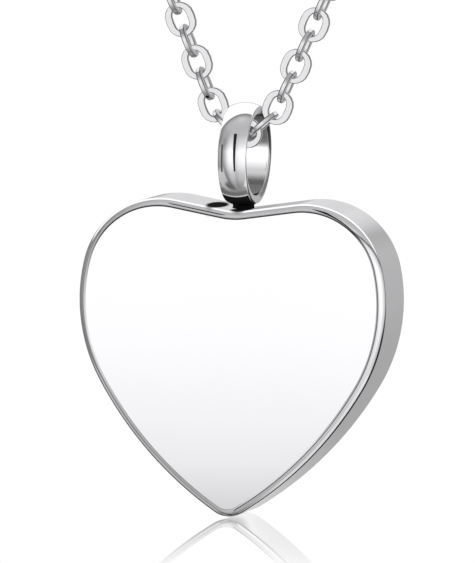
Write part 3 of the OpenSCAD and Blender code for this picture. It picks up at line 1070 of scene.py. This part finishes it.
def tent_world(to_camera):
    """The world: white to the camera, and a light tent with its cards and ceiling to the steel."""
    world = bpy.data.worlds.new("Light tent")
    bpy.context.scene.world = world
    world.use_nodes = True
    world.node_tree.nodes.clear()
    s = Shade(world.node_tree)
    direction = s.node("ShaderNodeTexCoord").outputs["Generated"]
    x, y, z = s.split(direction)
    azimuth = s.angle(x, s.math("MULTIPLY", y, -1.0))
    elevation = s.math("MULTIPLY", s.math("ARCSINE", z), math.degrees(1))
    overhead = s.range(elevation, *OVERHEAD_RISE, smooth=True)
    horizon = s.mix(overhead, s.ramp(azimuth, TENT_ROUND, -180, 180, TENT_SPAN), TENT_OVERHEAD)
    tone = s.math("MULTIPLY", horizon, s.ramp(elevation, TENT_RISE, -90, 90, TENT_SPAN))
    for at, half_w, height, half_h, soft, brightness in TENT_CARDS.values():
        across = s.math("ABSOLUTE", s.math("WRAP", s.math("SUBTRACT", azimuth, at), 180.0, -180.0))
        up = s.math("ABSOLUTE", s.math("SUBTRACT", elevation, height))
        inside = s.math("MULTIPLY", s.below(across, half_w, soft), s.below(up, half_h, soft))
        tone = s.mix(inside, tone, brightness)
    # The steel that mirrors this direction to the photograph's camera faces halfway between the two
    normal = s.split(s.vector("NORMALIZE", s.vector("ADD", direction, to_camera)))
    aside = s.math("MINIMUM", s.math("MAXIMUM", normal[0], LEAN_LIMITS[0]), LEAN_LIMITS[1])
    leaning = s.math("MULTIPLY_ADD", aside, CEILING_LEAN, s.vector("DOT_PRODUCT", direction, to_camera))
    above = s.range(elevation, CEILING_LOW - CEILING_FADE, CEILING_LOW + CEILING_FADE, smooth=True)
    edge = s.range(leaning, CEILING_START, CEILING_START + CEILING_EDGE, 1.0, 0.0, smooth=True)
    ceiling = s.below(leaning, CEILING_START, CEILING_SOFT)
    for behind, brightness in zip((edge, ceiling), CEILING_TONES):
        tone = s.mix(s.math("MULTIPLY", behind, above), tone, brightness)
    tent, white = s.node("ShaderNodeBackground"), s.node("ShaderNodeBackground")
    s.link(s.vector("SCALE", TENT_TINT, tone), tent.inputs["Color"])
    white.inputs["Color"].default_value = (1, 1, 1, 1)
    s.link(s.by_ray(tent, white), s.node("ShaderNodeOutputWorld").inputs["Surface"])


# The table's mirror by distance from the heart's tip in millimetres, its roughness, and how much white it
# takes the place of
TABLE_MIRROR = [(0, 0.8), (5, 0.78), (17, 0.6), (26, 0.38), (36, 0.14), (45, 0.0)]
TABLE_ROUGHNESS, TABLE_WHITE, WHITE_TAKEN = 0.03, 1.01, 0.75
# How much of the light from below the steel sees through the table, by the same distance: in front of the
# heart's middle a painted shadow round the tip, and behind it painted light near the tip with painted
# shadow past it
TABLE_PAINTED_SHADOW = [(0, 0.64), (10, 0.67), (40, 0.82), (74, 0.89), (108, 0.93), (142, 0.97), (200, 1.0)]
TABLE_PAINTED_BEHIND = [(0, 1.6), (8, 1.25), (17, 1.0), (27, 0.86), (40, 0.85), (100, 0.93), (200, 1.0)]
# The brightest that the second table goes
BEHIND_SPAN = 2.0


def table_material(tip):
    """A white glossy table that mirrors the pendant near its tip. The steel sees the tent through it, with
    painted shadow and light round the tip.
    """
    material = bpy.data.materials.new("White table")
    material.use_nodes = True
    material.node_tree.nodes.clear()
    s = Shade(material.node_tree)
    place = s.node("ShaderNodeTexCoord").outputs["Object"]
    distance = s.math("DIVIDE", s.vector("DISTANCE", place, tip), MM)
    gloss = s.ramp(distance, TABLE_MIRROR, 0, TABLE_MIRROR[-1][0])
    paint, mirror = s.node("ShaderNodeEmission"), s.node("ShaderNodeBsdfGlossy")
    mirror.inputs["Roughness"].default_value = TABLE_ROUGHNESS
    white = s.math("SUBTRACT", TABLE_WHITE, s.math("MULTIPLY", gloss, WHITE_TAKEN))
    s.link(white, paint.inputs["Strength"])
    s.link(gloss, mirror.inputs["Color"])
    # Painted shadow in front of the heart's middle, and painted light and shadow behind it, seen only by
    # the steel
    front = s.ramp(distance, TABLE_PAINTED_SHADOW, 0, TABLE_PAINTED_SHADOW[-1][0])
    back = s.ramp(distance, TABLE_PAINTED_BEHIND, 0, TABLE_PAINTED_BEHIND[-1][0], BEHIND_SPAN)
    painted_shadow_and_light = s.node("ShaderNodeBsdfTransparent")
    s.link(s.mix(s.range(s.split(place)[1], -MM, MM), front, back), painted_shadow_and_light.inputs["Color"])
    seen = s.node("ShaderNodeAddShader")
    s.link(paint.outputs[0], seen.inputs[0])
    s.link(mirror.outputs[0], seen.inputs[1])
    s.link(s.by_ray(painted_shadow_and_light, seen), s.node("ShaderNodeOutputMaterial").inputs["Surface"])
    return material


class PENDANT_OT_stage(Operator):
    """Sets the white table, the light tent and the camera at the photograph's angle"""
    bl_idname = "pendant.stage"
    bl_label = "Stage"

    def execute(self, context):
        sizes = context.scene.pendant_stage
        a, e = sizes.azimuth, sizes.elevation
        to_camera = Vector((math.sin(a) * math.cos(e), -math.cos(a) * math.cos(e), math.sin(e)))
        tent_world(to_camera)
        self.floor(sizes)
        self.camera(context, sizes, to_camera)
        context.scene.view_settings.view_transform = "Standard"
        return {"FINISHED"}

    def floor(self, sizes):
        clear_selection()
        level = HEART_LOW.z - sizes.floor_drop
        bpy.ops.mesh.primitive_plane_add(size=sizes.floor_size, location=(0, 0, level))
        floor = bpy.context.object
        floor.name = "table"
        bpy.ops.object.transform_apply(location=True, rotation=True, scale=True)
        floor.data.materials.append(table_material((0, -HEART_HIGH.y, level)))

    def camera(self, context, sizes, back):
        level = Vector((math.cos(sizes.azimuth), math.sin(sizes.azimuth), 0))
        upright = back.cross(level)
        right = level * math.cos(sizes.roll) + upright * math.sin(sizes.roll)
        up = upright * math.cos(sizes.roll) - level * math.sin(sizes.roll)
        dip_z = HEART_LOW.z + heart_depth(context.scene.pendant_heart)
        target = Vector((0, 0, dip_z - DIP_TO_MIDDLE))
        target -= right * (HEART_PIXEL[0] - PHOTO_W / 2) / PIXELS_PER_MM * MM
        target += up * (HEART_PIXEL[1] - PHOTO_H / 2) / PIXELS_PER_MM * MM
        clear_selection()
        bpy.ops.object.camera_add(location=target + back * sizes.distance)
        camera = bpy.context.object
        camera.matrix_world = Matrix.Translation(target + back * sizes.distance) @ Matrix(
            (right, up, back)).transposed().to_4x4()
        sensor = camera.data.sensor_width
        camera.data.lens = PIXELS_PER_MM / MM * sizes.distance * sensor / PHOTO_H
        camera.data.clip_start = 0.01
        camera.data.clip_end = 50.0
        context.scene.camera = camera


class PENDANT_PT_panel(Panel):
    """Lists the sizes and the operator of each piece"""
    bl_label = "Heart Urn Pendant"
    bl_idname = "PENDANT_PT_panel"
    bl_space_type = "VIEW_3D"
    bl_region_type = "UI"
    bl_category = "Pendant"

    def draw(self, context):
        for name, group in GROUPS.items():
            box = self.layout.box()
            for key in group.__annotations__:
                box.prop(getattr(context.scene, name), key)
            if name in OPERATORS:
                box.operator(OPERATORS[name].bl_idname)


GROUPS = {"pendant_heart": HeartSizes, "pendant_bail": BailSizes, "pendant_chain": ChainSizes,
          "pendant_clasp": ClaspSizes, "pendant_steel": SteelSizes, "pendant_stage": StageSizes}
OPERATORS = {"pendant_heart": PENDANT_OT_heart, "pendant_bail": PENDANT_OT_bail,
             "pendant_chain": PENDANT_OT_chain, "pendant_clasp": PENDANT_OT_clasp,
             "pendant_stage": PENDANT_OT_stage}
CLASSES = (*GROUPS.values(), *OPERATORS.values(), PENDANT_PT_panel)


def register():
    for cls in CLASSES:
        bpy.utils.register_class(cls)
    for name, group in GROUPS.items():
        setattr(bpy.types.Scene, name, PointerProperty(type=group))


def unregister():
    for name in GROUPS:
        delattr(bpy.types.Scene, name)
    for cls in reversed(CLASSES):
        bpy.utils.unregister_class(cls)


def main():
    register()
    bpy.ops.pendant.heart()
    bpy.ops.pendant.bail()
    bpy.ops.pendant.chain()
    bpy.ops.pendant.clasp()
    bpy.ops.pendant.stage()


if __name__ == "__main__":
    main()
